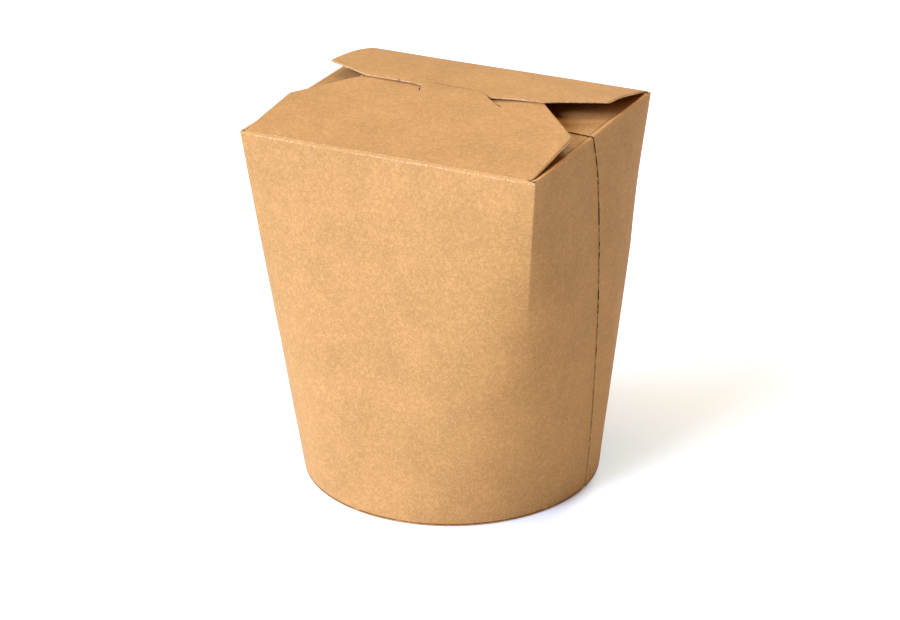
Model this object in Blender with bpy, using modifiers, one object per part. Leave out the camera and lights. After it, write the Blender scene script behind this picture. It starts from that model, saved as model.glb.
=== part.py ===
"""Shut noodle takeaway box of kraft card: four-sided at its top, round at its foot, with its flaps folded in.

Metres, +Z up. The origin is the middle of the foot, on the table. The front is -Y and the glued seam is at +X.
The wall and its four flaps are cut from one piece of card, so they are one solid, carton. It is filled, because
the shut box can't be seen into. The round base is a second piece of card, base_disc, held up inside the foot.
"""

import math

import bmesh
import bpy
from mathutils import Vector

# Driving dimensions
HEIGHT = 0.110  # table to the fold lines at the top
TOP_WIDTH = 0.0907  # fold to fold along X
TOP_DEPTH = 0.0782  # fold to fold along Y
BASE_RADIUS = 0.0440
CARD = 0.00045  # thickness of the card
GAP = 0.0003  # between pieces of card that rest on each other

# The wall
CREASE_TURN = math.radians(51)  # from the front's middle round to where a corner crease meets the foot
CREASE_POWER = 3.0  # how late a panel starts to turn towards its crease, near the top
FRONT_BULGE = 0.0014  # how far the middle of the front and back panels stands proud
SIDE_BULGE = 0.0021
BULGE_SKEW = 0.85  # under 1 puts the fullest part of a panel above its middle
HALF_PANEL_POINTS = 9
WALL_LEVELS = (0.0, 0.05, 0.12, 0.2, 0.3, 0.4, 0.5, 0.6, 0.7, 0.8, 0.9, 0.985)
FOLD_LEVELS = ((0.0, 0.0009), (0.0002, 0.0003), (0.0009, 0.0))  # (depth below the fold, inset) of its round edge
FOOT_LEVELS = ((0.0006, 0.00012), (0.0, 0.0005))  # (height, inset) of the foot's round edge
DECK_INSET = 0.022  # from the folds to the level middle of the side flaps
DECK_RISE = 0.0006  # the side flaps spring up this far
SEAM_Y = -0.0006  # where the outer end of the blank lies on the +X wall
LAP_SHARES = (1.0, 0.85, 0.3)  # share of a card thickness that the wall stands out behind the seam
LAP_LENGTH = 0.019  # of the seam on the side flap
LAP_WIDTH = 0.007
LAP_PROUD = 0.8 * CARD  # how far the lap stands up there

# The foot: the wall turns in and up inside the base's rim, which makes three thicknesses of card
RECESS_DEPTH = 0.0058  # table to the hem's cut edge
RECESS_RADIUS = BASE_RADIUS - 3 * CARD
DISC_RADIUS = RECESS_RADIUS + 0.0005
FOOT_SIDES = 64

# The front and back flaps, with distances from their own fold. Both spring up, along rise * s - droop * s * s
FOLD_HALF_WIDTH = TOP_WIDTH / 2 - 0.0012
FLAP_ROOT = 0.0004  # how far a flap's fold edge is let into the wall, back from the fold and down from it
SHOULDER_HALF_WIDTH = 0.0284
FRONT_LENGTH = 0.0450
FRONT_WIDE_POINT = 0.0252  # where the front flap's ends turn in
FRONT_WIDE_HALF_WIDTH = 0.0438
FRONT_SHOULDER = 0.0427  # where its slanting edges reach the shoulder width
FRONT_RISE = 0.158
FRONT_DROOP = 0.8
BACK_LENGTH = 0.0361
BACK_WIDE_POINT = 0.0272
BACK_WIDE_HALF_WIDTH = 0.0447
BACK_RISE = 0.300
BACK_DROOP = 4.1
BACK_DIP = 0.0011  # how far the lock holds the middle of the back flap's edge down
DIP_X = 0.005  # where it is held down most
FLAP_GRID = 0.0045

# The lock: the front flap's tongue, between two slits, lies on the back flap and its shoulders lie under it
LOCK_Y = TOP_DEPTH / 2 - BACK_LENGTH  # the back flap's edge, where the two flaps cross
TONGUE_X = 0.0007
TONGUE_LENGTH = 0.0478  # from the front fold
TONGUE_TIP_HALF_WIDTH = 0.0036
TONGUE_NECK_HALF_WIDTH = 0.0110  # where it crosses the back flap's edge
TONGUE_RAMP = 0.020  # over which it climbs to the back flap
TONGUE_TIP_ROUND = 0.0009
TONGUE_STRESS_WIDTH = 0.014  # beside each slit, over which the tongue's climb dies out
SLIT_SLANT = 1.2  # sideways for each metre towards the front
SLIT_REACH = 0.0053  # past the back flap's edge, towards the front
SLIT_END_Y = LOCK_Y - SLIT_REACH
SLIT_WIDTH = 0.0005
NICK_X = -0.0172  # a small cut in the back flap's edge, which slants away to the left
NICK_DEPTH = 0.0027
NICK_SLANT = 0.9  # sideways for each metre of depth

CORNER_HOLE_RADIUS = 0.0007
CORNER_HOLE_DEPTH = 0.003


def clear_scene():
    for obj in list(bpy.data.objects):
        bpy.data.objects.remove(obj, do_unlink=True)


def new_collection(name):
    collection = bpy.data.collections.new(name)
    bpy.context.scene.collection.children.link(collection)
    return collection


def add_object(name, mesh_builder, collection):
    mesh = bpy.data.meshes.new(name)
    mesh_builder.to_mesh(mesh)
    mesh_builder.free()
    obj = bpy.data.objects.new(name, mesh)
    collection.objects.link(obj)
    return obj


def make_helper(obj):
    obj.hide_render = True
    obj.display_type = "WIRE"


def card_material(name, colour):
    material = bpy.data.materials.new(name)
    material.use_nodes = True
    shader = material.node_tree.nodes["Principled BSDF"]
    shader.inputs["Base Color"].default_value = (*colour, 1)
    shader.inputs["Roughness"].default_value = 0.72
    shader.inputs["Metallic"].default_value = 0.0
    return material


# --- the wall's sections ---------------------------------------------------------------------------


def turning_curve(turn, power):
    """Points along a curve of length 1 that starts along +X and has turned by turn * s**power at s."""
    steps = 8
    x = y = 0.0
    points = [(x, y)]
    for i in range(HALF_PANEL_POINTS * steps):
        heading = turn * ((i + 0.5) / (HALF_PANEL_POINTS * steps)) ** power
        x += math.cos(heading)
        y += math.sin(heading)
        if (i + 1) % steps == 0:
            points.append((x, y))
    return points


def halving(wanted, low, high, measure):
    """The value from low to high where measure, which rises from low to high, is wanted."""
    for _ in range(30):
        middle = (low + high) / 2
        if measure(middle) < wanted:
            low = middle
        else:
            high = middle
    return (low + high) / 2


def half_panel(reach, drop, most_turn):
    """(along, in) from the middle of a panel to its corner crease. What most_turn leaves over is the crease's."""

    def steepness(turn, power):
        x, y = turning_curve(turn, power)[-1]
        return y / x

    wanted = drop / reach
    if steepness(most_turn, CREASE_POWER) > wanted:
        turn = halving(wanted, 0.0, most_turn, lambda angle: steepness(angle, CREASE_POWER))
        power = CREASE_POWER
    else:
        turn = most_turn
        power = -halving(wanted, -CREASE_POWER, -0.3, lambda minus_power: steepness(turn, -minus_power))
    curve = turning_curve(turn, power)
    scale = reach / curve[-1][0]
    return [(x * scale, y * scale) for x, y in curve]


def quarter_section(down):
    """Points from the middle of the front to the middle of the +X side, where down runs from 0 at the top to 1."""
    crease_x = (1 - down) * TOP_WIDTH / 2 + down * BASE_RADIUS * math.sin(CREASE_TURN)
    crease_y = (1 - down) * TOP_DEPTH / 2 + down * BASE_RADIUS * math.cos(CREASE_TURN)
    fullness = math.sin(math.pi * down**BULGE_SKEW)
    middle_x = (1 - down) * TOP_WIDTH / 2 + down * BASE_RADIUS + SIDE_BULGE * fullness
    middle_y = (1 - down) * TOP_DEPTH / 2 + down * BASE_RADIUS + FRONT_BULGE * fullness
    front = half_panel(crease_x, middle_y - crease_y, CREASE_TURN)
    side = half_panel(crease_y, middle_x - crease_x, math.pi / 2 - CREASE_TURN)
    points = [(along, inward - middle_y) for along, inward in front]
    points += [(middle_x - inward, -along) for along, inward in reversed(side[:-1])]
    return points


def whole_section(down):
    """The section's points, anticlockwise from the middle of the front, with the seam's step at +X."""
    front_right = quarter_section(down)
    right_back = [(x, -y) for x, y in reversed(front_right[:-1])]
    left_half = [(-x, -y) for x, y in (front_right + right_back)[1:-1]]
    seam_x = front_right[-1][0]
    points = front_right[:-1] + [(seam_x, SEAM_Y)]
    behind = [(seam_x, SEAM_Y + GAP)] + right_back
    for share, (x, y) in zip(LAP_SHARES, behind):
        points.append((x + share * CARD, y))
    points += behind[len(LAP_SHARES) :]
    return points + left_half


def inset_section(down, inset):
    return [
        (x * (1 - inset / BASE_RADIUS), y * (1 - inset / BASE_RADIUS))
        for x, y in whole_section(down)
    ]


def wall_rings():
    """(height, points) of every ring of the wall, from the foot to the top fold."""
    rings = [(height, inset_section(1.0, inset)) for height, inset in reversed(FOOT_LEVELS)]
    rings += [(HEIGHT * (1 - down), whole_section(down)) for down in reversed(WALL_LEVELS[1:])]
    rings += [(HEIGHT - depth, inset_section(0.0, inset)) for depth, inset in reversed(FOLD_LEVELS)]
    return rings


def filled_wall(collection):
    """The loft from the round foot to the four-sided top, closed by the side flaps' slightly sprung deck."""
    shape = bmesh.new()
    rings = [[shape.verts.new((x, y, z)) for x, y in points] for z, points in wall_rings()]
    deck_scale = (1 - 2 * DECK_INSET / TOP_WIDTH, 1 - 2 * DECK_INSET / TOP_DEPTH)
    rings.append(
        [
            shape.verts.new((v.co.x * deck_scale[0], v.co.y * deck_scale[1], HEIGHT + DECK_RISE))
            for v in rings[-1]
        ]
    )
    for low, high in zip(rings, rings[1:]):
        for i in range(len(low)):
            j = (i + 1) % len(low)
            shape.faces.new((low[i], low[j], high[j], high[i]))
    shape.faces.new(list(reversed(rings[0])))
    shape.faces.new(rings[-1])
    return add_object("carton", shape, collection)


# --- sheets of card ----------------------------------------------------------------------------------


def card_sheet(name, outline, height_at, collection):
    """A sheet with that outline seen from above, its upper face at height_at(x, y), and a card's thickness."""
    shape = bmesh.new()
    face = shape.faces.new([shape.verts.new((x, y, 0)) for x, y in outline])
    face.normal_update()
    for axis in (Vector((1, 0, 0)), Vector((0, 1, 0))):
        reach = [v.co.dot(axis) for v in shape.verts]
        cuts = int((max(reach) - min(reach)) / FLAP_GRID)
        for i in range(1, cuts + 1):
            cut = min(reach) + i * (max(reach) - min(reach)) / (cuts + 1)
            everything = shape.verts[:] + shape.edges[:] + shape.faces[:]
            bmesh.ops.bisect_plane(shape, geom=everything, plane_co=axis * cut, plane_no=axis)
    bmesh.ops.triangulate(shape, faces=shape.faces[:])
    for vertex in shape.verts:
        vertex.co.z = height_at(vertex.co.x, vertex.co.y)
    bmesh.ops.recalc_face_normals(shape, faces=shape.faces[:])
    if sum(face.normal.z for face in shape.faces) < 0:
        bmesh.ops.reverse_faces(shape, faces=shape.faces[:])
    sheet = add_object(name, shape, collection)
    thickness = sheet.modifiers.new("card", "SOLIDIFY")
    thickness.thickness = CARD
    thickness.offset = -1
    thickness.use_even_offset = False
    make_helper(sheet)
    return sheet


def eased(value, start, end):
    """0 before start, 1 after end, and smooth between them."""
    share = min(1.0, max(0.0, (value - start) / (end - start)))
    return share * share * (3 - 2 * share)


def root_drop(from_fold):
    return FLAP_ROOT * (1 - eased(from_fold, FLAP_ROOT / 2, 8 * FLAP_ROOT))


def slit_half_width(y):
    """How far from the tongue's middle line its slits are."""
    return TONGUE_NECK_HALF_WIDTH - SLIT_SLANT * (y - LOCK_Y)


def back_height(x, y):
    s = TOP_DEPTH / 2 - y
    held = (1 - eased(abs(x - DIP_X), 0.003, 0.024)) * eased(s, 0.0, BACK_LENGTH)
    return HEIGHT + BACK_RISE * s - BACK_DROOP * s * s - BACK_DIP * held - root_drop(s)


def front_height(x, y):
    """The front flap springs up, then at the lock its tongue goes over the back flap and the rest goes under."""
    s = TOP_DEPTH / 2 + y
    free = HEIGHT + FRONT_RISE * s - FRONT_DROOP * s * s - root_drop(s)
    at_lock = eased(y, SLIT_END_Y, LOCK_Y - 0.0002)
    past_slit = abs(x - TONGUE_X) - slit_half_width(max(y, SLIT_END_Y))
    if past_slit > 0 and s < FRONT_LENGTH + SLIT_WIDTH:
        under = back_height(x, y) - CARD - GAP
        return free + at_lock * (min(free, under) - free)
    over = back_height(x, y) + CARD + GAP
    beside_slit = eased(past_slit, -TONGUE_STRESS_WIDTH, 0.0)
    ramp = eased(y, LOCK_Y - TONGUE_RAMP, LOCK_Y - 0.0002)
    return free + ramp * (1 - beside_slit * (1 - at_lock)) * (over - free)


def front_outline():
    """The front flap from its fold round to its tongue and back, anticlockwise seen from above."""
    fold_y = -TOP_DEPTH / 2 + FLAP_ROOT
    wide_y = -TOP_DEPTH / 2 + FRONT_WIDE_POINT
    shoulder_y = -TOP_DEPTH / 2 + FRONT_SHOULDER
    end_y = -TOP_DEPTH / 2 + FRONT_LENGTH
    tip_y = -TOP_DEPTH / 2 + TONGUE_LENGTH
    taper = (FRONT_WIDE_HALF_WIDTH - SHOULDER_HALF_WIDTH) / (shoulder_y - wide_y)
    end_half_width = SHOULDER_HALF_WIDTH - taper * (end_y - shoulder_y)
    tongue_end = slit_half_width(end_y)
    tongue = [
        (tongue_end + SLIT_WIDTH / 2, end_y),
        (slit_half_width(SLIT_END_Y), SLIT_END_Y),
        (tongue_end - SLIT_WIDTH / 2, end_y),
        ((tongue_end + TONGUE_TIP_HALF_WIDTH) / 2, tip_y - TONGUE_TIP_ROUND),
        (TONGUE_TIP_HALF_WIDTH, tip_y),
    ]
    right = [(FOLD_HALF_WIDTH, fold_y), (FRONT_WIDE_HALF_WIDTH, wide_y), (end_half_width, end_y)]
    right += [(TONGUE_X + x, y) for x, y in tongue]
    left = [(TONGUE_X - x, y) for x, y in reversed(tongue)]
    left += [(-end_half_width, end_y), (-FRONT_WIDE_HALF_WIDTH, wide_y), (-FOLD_HALF_WIDTH, fold_y)]
    return right + left


def back_outline():
    """The back flap from its fold round its lower edge, anticlockwise seen from above."""
    fold_y = TOP_DEPTH / 2 - FLAP_ROOT
    wide_y = TOP_DEPTH / 2 - BACK_WIDE_POINT
    return [
        (FOLD_HALF_WIDTH, fold_y),
        (-FOLD_HALF_WIDTH, fold_y),
        (-BACK_WIDE_HALF_WIDTH, wide_y),
        (-SHOULDER_HALF_WIDTH, LOCK_Y),
        (NICK_X - SLIT_WIDTH / 2, LOCK_Y),
        (NICK_X - NICK_SLANT * NICK_DEPTH, LOCK_Y + NICK_DEPTH),
        (NICK_X + SLIT_WIDTH / 2, LOCK_Y),
        (SHOULDER_HALF_WIDTH, LOCK_Y),
        (BACK_WIDE_HALF_WIDTH, wide_y),
    ]


def lap_outline():
    """The seam's overlap where it crosses the fold onto the +X side flap."""
    outer = TOP_WIDTH / 2 - FLAP_ROOT
    return [
        (outer, SEAM_Y + GAP),
        (outer, SEAM_Y + LAP_WIDTH),
        (outer - LAP_LENGTH, SEAM_Y + LAP_WIDTH),
        (outer - LAP_LENGTH, SEAM_Y + GAP),
    ]


def lap_height(x, y):
    s = TOP_WIDTH / 2 - x
    return HEIGHT + LAP_PROUD + DECK_RISE * s / DECK_INSET - 2 * root_drop(s)


# --- joining and cutting -----------------------------------------------------------------------------


def combine(target, other, operation):
    boolean = target.modifiers.new(f"{operation.lower()} {other.name}", "BOOLEAN")
    boolean.operation = operation
    boolean.object = other
    boolean.solver = "EXACT"
    make_helper(other)


def cylinder(name, radius, low, high, sides, collection, at=(0, 0)):
    shape = bmesh.new()
    bmesh.ops.create_cone(
        shape, cap_ends=True, segments=sides, radius1=radius, radius2=radius, depth=high - low
    )
    bmesh.ops.translate(shape, verts=shape.verts, vec=(at[0], at[1], (low + high) / 2))
    return add_object(name, shape, collection)


def corner_hole_places():
    x = TOP_WIDTH / 2 - 0.0013
    y = TOP_DEPTH / 2 - 0.0013
    return [(x, -y), (x, y), (-x, y), (-x, -y)]


def build_carton(parts, helpers, material):
    carton = filled_wall(parts)
    combine(carton, card_sheet("front_flap_sheet", front_outline(), front_height, helpers), "UNION")
    combine(carton, card_sheet("back_flap_sheet", back_outline(), back_height, helpers), "UNION")
    combine(carton, card_sheet("seam_lap_sheet", lap_outline(), lap_height, helpers), "UNION")
    disc_top = RECESS_DEPTH + GAP + CARD
    hem = cylinder("hem_cutter", RECESS_RADIUS, -0.001, RECESS_DEPTH, FOOT_SIDES, helpers)
    seat = cylinder(
        "seat_cutter", DISC_RADIUS + GAP, RECESS_DEPTH - 0.0001, disc_top + GAP, FOOT_SIDES, helpers
    )
    combine(carton, hem, "DIFFERENCE")
    combine(carton, seat, "DIFFERENCE")
    for i, place in enumerate(corner_hole_places()):
        low = HEIGHT - CORNER_HOLE_DEPTH
        hole = cylinder(f"corner_hole_{i}", CORNER_HOLE_RADIUS, low, HEIGHT + 0.002, 10, helpers, place)
        combine(carton, hole, "DIFFERENCE")
    carton.data.materials.append(material)
    return carton


def build_base_disc(parts, material):
    low = RECESS_DEPTH + GAP
    disc = cylinder("base_disc", DISC_RADIUS, low, low + CARD, FOOT_SIDES, parts)
    disc.data.materials.append(material)
    return disc


def main():
    clear_scene()
    parts = new_collection("noodle_box")
    helpers = new_collection("cutters")
    kraft = card_material("kraft_card", (0.70, 0.42, 0.19))
    build_carton(parts, helpers, kraft)
    build_base_disc(parts, kraft)


main()
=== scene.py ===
"""The looks of a shut noodle takeaway box of kraft card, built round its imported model. Metres, +Z up.

The box is made as it is in life. A flat blank is laid out, its flaps are trimmed and slit, and then it is
folded: every point of the blank is carried to its place on the wall, on a flap or in the rolled hem. Along
the blank, p runs round the top fold from the seam, anticlockwise seen from above, and w is the distance past
that fold, less than 0 on the wall and more than 0 on the flaps.
"""

import math

import bmesh
import bpy
from mathutils import Matrix, Vector, noise


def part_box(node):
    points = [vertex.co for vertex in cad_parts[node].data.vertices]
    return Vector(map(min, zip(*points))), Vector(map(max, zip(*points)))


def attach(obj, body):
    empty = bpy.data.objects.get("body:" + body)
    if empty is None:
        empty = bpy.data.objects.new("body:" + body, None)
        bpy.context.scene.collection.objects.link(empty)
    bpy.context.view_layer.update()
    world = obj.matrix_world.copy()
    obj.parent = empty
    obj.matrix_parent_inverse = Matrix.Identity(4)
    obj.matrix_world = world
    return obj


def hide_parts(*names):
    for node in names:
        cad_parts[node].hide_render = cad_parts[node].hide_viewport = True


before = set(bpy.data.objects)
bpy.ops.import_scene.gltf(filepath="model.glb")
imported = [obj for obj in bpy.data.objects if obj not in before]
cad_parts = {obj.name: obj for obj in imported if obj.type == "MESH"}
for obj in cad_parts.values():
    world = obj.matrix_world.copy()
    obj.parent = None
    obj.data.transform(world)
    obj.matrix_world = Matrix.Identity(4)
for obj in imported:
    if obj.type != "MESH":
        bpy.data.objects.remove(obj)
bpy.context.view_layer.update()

# --- Sizes ----------------------------------------------------------------------------------------

CARTON_LOW, CARTON_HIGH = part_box("carton")
DISC_LOW, DISC_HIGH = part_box("base_disc")
BASE_RADIUS = (CARTON_HIGH.y - CARTON_LOW.y) / 2
FOLD_HEIGHT = 0.110
TOP_WIDTH = 0.0915
TOP_DEPTH = 0.0782
CARD = 0.00045

# The wall
CREASE_TURN = math.radians(51)  # from the front's middle round to where a corner crease meets the foot
CREASE_POWER = 3.0  # how late a panel starts to turn towards its crease, near the top
FRONT_BULGE = 0.0014
SIDE_BULGE = 0.0021
BULGE_SKEW = 0.85
CREASE_ROUND = 0.0004  # how far each side of a corner crease its rounding starts
CURVE_STEPS = 72  # along a half panel's curve
HALVINGS = 24  # that finding a curve's turn takes

# The blank
HALF_PANELS = (TOP_DEPTH / 2, TOP_WIDTH / 2)  # a side's and a front's half width
HALF_COLUMNS = (44, 48)
CREASE_COLUMN_SHARES = (0.12, 0.28, 0.48, 0.74)  # of a column's width, where more columns stand at a crease
SEAM_COLUMNS = (0.0, 0.00012, 0.0003, 0.0006)  # how far from a glued end more columns stand
CLOSEST_COLUMNS = 0.00008
AROUND = 4 * sum(HALF_PANELS)
SEAM_START = -0.0003  # the outer end's cut edge
SEAM_CLOSES = 0.85  # how much less its gap's painted shade shows at the foot
SEAM_CLOSING = (0.45 * FOLD_HEIGHT, 0.95 * FOLD_HEIGHT)  # how far under the fold that starts and ends
SEAM_PRESS = 0.72  # how much of its card's thickness the outer layer of the glued seam still stands out
SEAM_FLUSH = (0.014, 0.003)  # over the foot, where the outer layer starts to sink and is flush
LAP = 0.0125  # how much of the blank's inner end is glued under the outer end
LAP_FADE = (LAP + 0.0008, LAP + 0.009)  # where the wall comes back in past the lap
INNER_SINK = (0.0035, 0.0006)  # before the outer end, where the layer under it starts to sink and is down
WALL_ROW = 0.0022
FLAP_ROW = 0.0013
SCORE_LINE = 0.00135  # how far in from a top fold the flap's scored line runs
FOLD_ROUND = 0.0006  # how far each side of a top fold its rounding starts
CORNER_NOTCH = 0.0011  # how far from its ends a panel carries no flap
FLAP_LAP = 0.010  # of the seam on the side flap
SEAM_BOW = 0.0017  # how far towards the front the seam bows at the top fold
SEAM_BOW_DEPTH = 0.012  # how far under the fold the bow starts
SEAM_BOW_REACH = (0.004, 0.015)  # where along the blank the slip is greatest, and over how much it dies out
CUT_REACH = 0.0018  # how far from a cut its faces' centres can be
ON_SLIT = 2e-6  # a point this close to a slit is on it
ON_TONGUE_CUT = 3e-6  # and this close to the cut round the tongue
UNTRIMMED_ROOT = 0.0003  # a flap isn't trimmed nearer its fold than this
FOOT_ROLL = 0.0005  # radius of the foot's rolled edge
FOOT_LINE = 0.0007  # height of the line pressed in over the rolled foot
FOOT_GROOVE = 0.00014
FOOT_GROOVE_WIDTH = 0.00018
FOOT_ROWS = (0.0010, 0.0007, 0.0005, 0.00035, 0.0002, 0.0001, 0.0)  # heights over the roll
FOOT_TURNS = 8  # steps round the roll
HEM_TOP = DISC_LOW.z - 0.0003
HEM_ROW_SHARES = (0.12, 0.24, 0.5, 0.76, 0.88, 1.0)  # of the hem's height
RIM_RADIUS = BASE_RADIUS - 2.1 * CARD  # of the base's turned down rim
RIM_CORNER = 0.0007
RIM_FOOT = 0.0012  # height that the rim reaches down to
BASE_CROWN = ((0.0, 0.0002), (0.012, 0.00018), (0.030, 0.0001))  # (radius, how far the base domes up)
RIBS_PER_HALF_PANEL = (11, 12)
RIB_DEPTH = 0.00011
RIB_START = (0.0002, 0.0012)  # up the hem, where the ribs start and have their depth
SCORES = (  # the relief across a top fold: (how proud, how far past the fold, how wide)
    (0.00004, 0.0, 0.00045),
    (-0.00012, SCORE_LINE, 0.00028),
    (-0.00003, -0.0013, 0.0004),
)
WAVES = ((0.00010, 32), (0.00003, 110))  # the card's own unevenness: (height, waves a metre)
WAVES_HEIGHT = 0.012  # over the foot, from which the waves are at their full height
NEAR_FOLD = [0.00015, 0.0003, 0.00045, FOLD_ROUND, 0.0009]  # rows on both sides of a fold
NEAR_FOLD_ON_WALL = NEAR_FOLD + [0.0012, 0.0016, 0.0022, 0.0035]
NEAR_FOLD_ON_FLAP = NEAR_FOLD + [0.0011, 0.0013, 0.0015, 0.0018, 0.0022, 0.003]

# The flaps, with distances from their own fold. The front and back flaps rise along rise * s - droop * s * s
FRONT_RISE, FRONT_DROOP = 0.158, 0.8
BACK_RISE, BACK_DROOP = 0.300, 4.1
SIDE_RISE = 0.03
SIDE_SAG = 0.0011  # how far a side flap's ends sink under the flaps that cover them
SIDE_SAG_ALONG = (0.012, 0.036)  # how far from the flap's middle the sag starts and is greatest
SIDE_SAG_IN = (0.0, 0.012)  # and how far in from the fold
BACK_LENGTH = 0.0356
BACK_DIP = 0.00095  # how far the lock holds the middle of the back flap's edge down
DIP_X = 0.0025
DIP_REACH = (0.005, 0.018)  # from DIP_X, where the hold starts to fade and ends
# How a free corner moves up: (how far, from and to which x, from and to how far from the fold)
BACK_LEFT_TIP = (-0.0004, 0.028, 0.045, 0.008, 0.027)
BACK_RIGHT_TIP = (0.0006, 0.015, 0.032, 0.008, 0.027)
FRONT_LEFT_TIP = (-0.0002, 0.025, 0.045, 0.005, 0.025)
FRONT_RIGHT_TIP = (0.0003, 0.025, 0.045, 0.005, 0.025)
LOCK_Y = TOP_DEPTH / 2 - BACK_LENGTH
LOCK_LEAD = 0.0002  # how far before LOCK_Y the front flap's shoulders are quite under
LOCK_GAP = 0.00008  # between the card of the two flaps where they cross
SHOULDER_GAPE = ((0.0145, 0.00042), (-0.017, 0.00018))  # (x, how much wider the gap gapes there)
GAPE_WIDTH = 0.008
TONGUE_PRESS = 0.82  # how much of its card's thickness the tongue has pressed itself into the back flap
TONGUE_PRESS_LENGTH = 0.003  # over which it does so
TONGUE_BEND_Y = 0.0006  # the line along which the tongue bends down onto the back flap
TONGUE_RIDGE = 0.00010  # how proud the tongue's bend stands
TONGUE_RIDGE_WIDTH = 0.00045
BEND_ROW = 0.0003  # between the rows at the tongue's bend
SLIT_OPENING = 0.00020
SLIT_END_OPENING = 0.00022  # the more where the knife stopped
SLIT_END_REACH = (0.0006, 0.0005)  # how far from the slit's end that is, and over how much
SLIT_DARK_END = TOP_DEPTH / 2 + 0.0068  # how far up the tongue its sides show as lines of painted shade

# Outlines, as world x and y
FRONT_FLAP = (
    (0.0433, -TOP_DEPTH / 2),
    (0.0443, -0.0365),
    (0.0449, -0.0136),
    (0.0281, 0.0038),
    (0.0262, 0.0059),
    (-0.0265, 0.0059),
    (-0.0285, 0.0036),
    (-0.0438, -0.0139),
    (-0.0441, -0.0365),
    (-0.0433, -TOP_DEPTH / 2),
)
BACK_FLAP = (
    (0.0445, 0.0368),
    (0.0437, TOP_DEPTH / 2),
    (-0.0437, TOP_DEPTH / 2),
    (-0.0447, 0.0368),
    (-0.0447, 0.0119),
    (-0.0284, LOCK_Y),
    (0.0282, LOCK_Y),
    (0.0446, 0.0120),
)
SIDE_FLAP = (  # this one as (along the fold from its middle, in from the fold)
    (-0.0382, 0.0),
    (-0.0340, 0.0210),
    (-0.0200, 0.0365),
    (0.0200, 0.0365),
    (0.0340, 0.0210),
    (0.0382, 0.0),
)
RIGHT_SLIT = ((0.0176, -0.0024), (0.0119, 0.0016), (0.0100, 0.0037), (0.0082, 0.0060))
LEFT_SLIT = ((-0.0089, -0.0005), (-0.0094, 0.0011), (-0.0100, 0.0030), (-0.0098, 0.0057))
TONGUE_TIP = (
    (0.0072, 0.0067),
    (0.0058, 0.0071),
    (0.0028, 0.0075),
    (-0.0018, 0.0078),
    (-0.0062, 0.0077),
    (-0.0082, 0.0073),
    (-0.0094, 0.0066),
)
NICK = ((-0.0172, LOCK_Y - 0.0001), (-0.0197, LOCK_Y + 0.0026))
FRONT_CORNER, BACK_CORNER, SIDE_CORNER = 0.0006, 0.0008, 0.003  # how round the flaps' corners are cut

# The looks
CARD_GLOSS = 0.12  # the card is quite matt
FOLD_WEAR_AND_LIGHT = (0.30, 0.40, 0.35, 0.95)  # how pale the right, back, left and front folds have cracked; the flecks are partly painted highlight, most on the front fold, and one less this scales the painted shade in each flap's scored line
CREASE_WEAR = 0.10
FOLD_FLECKS, CREASE_FLECKS = 0.0006, 0.0005  # how far from a fold or a crease its row of flecks lies
WORN_RING = BASE_RADIUS - 2.4 * CARD  # radius of the base's turned edge
KRAFT = (0.480, 0.241, 0.0765)
CUT_PULP = (0.54, 0.31, 0.130)
CLOUD_CONTRAST = (0.055, 0.050)  # how much darker and paler the card's clouds are
WORM_DARKER, WORM_PALER = (0.15, 0.18, 0.21), (0.16, 0.19, 0.21)
# pale broken fibre, which in the flecks along the top folds is also a painted highlight
PALE_FIBRE_AND_HIGHLIGHT = (0.80, 0.60, 0.37)
# painted shade colour: the dark of the gaps at the seam and slits and of the pressed line over the foot
PAINTED_SHADE_COLOUR = (0.060, 0.023, 0.007)
FLOOR_WHITE = (0.900, 0.925, 0.955)
FLOOR_GLOW, FLOOR_GLOW_STRENGTH = (0.86, 1.0, 1.18, 1), 0.17
FLOOR_REACH = 4.0
LAMPS = (  # (name, the direction its light comes from, strength, colour, degrees across)
    ("key_softbox", (-0.35, -0.9, 0.5), 2.86, (1.0, 1.10, 1.39), 25),
    ("left_softbox", (-0.75, -0.65, 0.55), 1.24, (1.0, 1.50, 2.8), 40),
    ("overhead_softbox", (-0.1, -0.1, 1.0), 1.36, (1.0, 0.76, 0.46), 36),
    ("back_softbox", (-0.1, 1.0, 0.7), 2.15, (1.0, 1.10, 1.09), 22),
    ("warm_reflector", (0.8, 0.8, 0.6), 0.26, (1.0, 0.50, 0.25), 50),
)

# The camera
CAMERA_TURN, CAMERA_HEIGHT, CAMERA_ROLL = math.radians(27.03), math.radians(23.95), math.radians(-0.6)
CAMERA_DISTANCE = 7.7 * FOLD_HEIGHT
CAMERA_LENS = 116.27
CAMERA_SHIFT = (-0.0005, -0.0245)


def eased(value, start, end):
    """0 before start, 1 after end, and smooth between them."""
    share = min(1.0, max(0.0, (value - start) / (end - start)))
    return share * share * (3 - 2 * share)


def bell(value, middle, width):
    return math.exp(-(((value - middle) / width) ** 2))


# --- The wall's shape -----------------------------------------------------------------------------


def turning_curve(turn, power):
    """Points on a curve that starts along +X and has turned by turn * s**power at share s of its length."""
    x = y = 0.0
    points = [(x, y)]
    for i in range(CURVE_STEPS):
        heading = turn * ((i + 0.5) / CURVE_STEPS) ** power
        x += math.cos(heading)
        y += math.sin(heading)
        points.append((x, y))
    return points


def halving(wanted, low, high, measure):
    """The value from low to high where measure, which rises from low to high, is wanted."""
    for _ in range(HALVINGS):
        middle = (low + high) / 2
        if measure(middle) < wanted:
            low = middle
        else:
            high = middle
    return (low + high) / 2


def steepness(turn, power):
    """How far such a curve has come in, as a share of how far it has gone along."""
    x, y = turning_curve(turn, power)[-1]
    return y / x


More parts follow.
